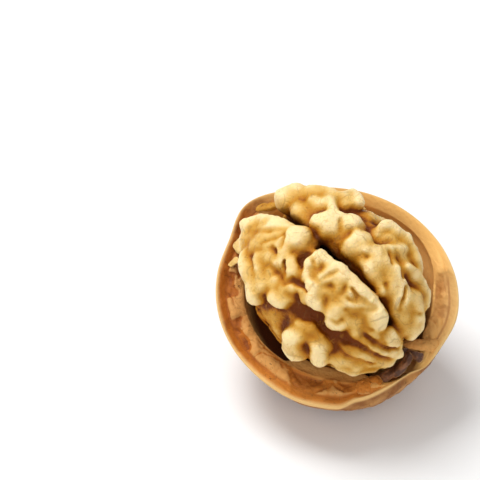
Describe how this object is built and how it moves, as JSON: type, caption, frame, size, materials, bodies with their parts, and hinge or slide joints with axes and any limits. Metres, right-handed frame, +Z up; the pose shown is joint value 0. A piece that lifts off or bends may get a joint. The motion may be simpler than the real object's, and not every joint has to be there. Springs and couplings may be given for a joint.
{
  "type": "opened walnut",
  "caption": "Opened walnut resting in its half shell: a folded kernel with a deep cleft, a thick broken rim and a papery partition at the stem end.",
  "frame": {"origin": "on the surface that the shell rests on, under the middle of the bounding box", "axes": "+Z up; the open side leans 24.5 degrees from +Z, towards -Y; the stem end points towards +X and -Y"},
  "size_m": [0.0384, 0.0364, 0.0331],
  "materials": {
    "shell": "satin, tan to orange-brown",
    "kernel": "satin, cream crests and golden valleys",
    "septum": "satin, dark brown"
  },
  "bodies": {
    "root": {"shell_half": "shell", "kernel": "kernel", "septum": "septum"}
  },
  "joints": []
}
